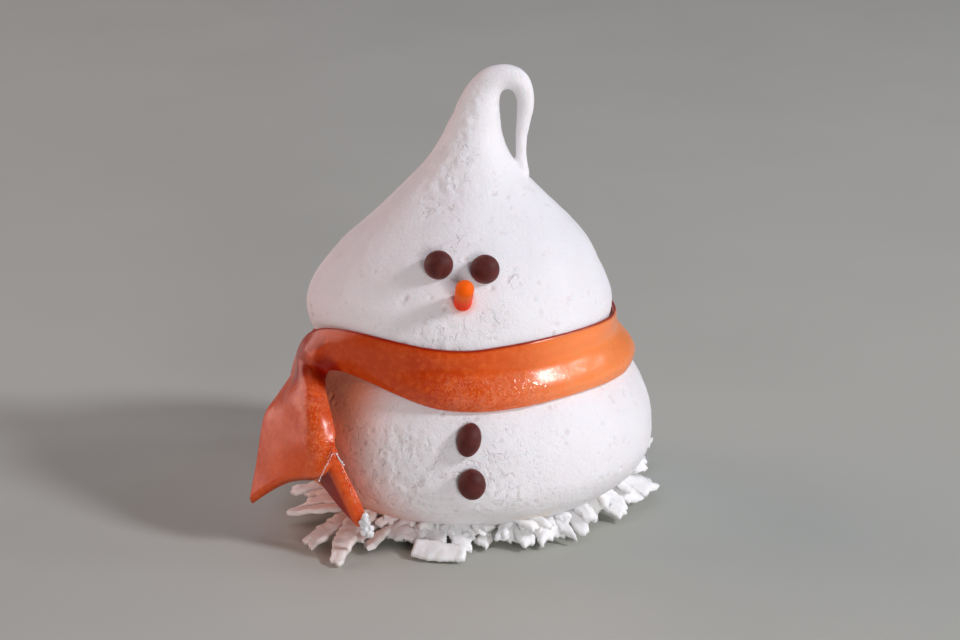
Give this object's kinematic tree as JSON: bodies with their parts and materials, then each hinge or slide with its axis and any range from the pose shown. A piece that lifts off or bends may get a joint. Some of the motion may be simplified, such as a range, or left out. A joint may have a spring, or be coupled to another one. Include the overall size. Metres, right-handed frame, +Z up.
{
  "type": "snowman meringue",
  "caption": "Snowman made of two meringue kisses, with a looped tip, chocolate pearl eyes and buttons, a carrot-shaped nose, a candy scarf and shredded coconut round its foot.",
  "frame": {"origin": "centre of the flat underside, on the surface that the snowman stands on", "axes": "+Z up, the face and buttons look along -Y, +X to the snowman's left, which is the right of the picture"},
  "size_m": [0.057, 0.0543, 0.0626],
  "materials": {
    "meringue": "matte, fine pores, dry",
    "candy": "translucent orange with a fine pearl sparkle",
    "carrot": "smooth orange sugar",
    "chocolate": "smooth dark chocolate, low sheen"
  },
  "bodies": {
    "root": {"meringue_body": "meringue", "meringue_head": "meringue", "scarf": "candy", "nose": "carrot", "eye_left": "chocolate", "eye_right": "chocolate", "button_top": "chocolate", "button_bottom": "chocolate"}
  },
  "joints": []
}
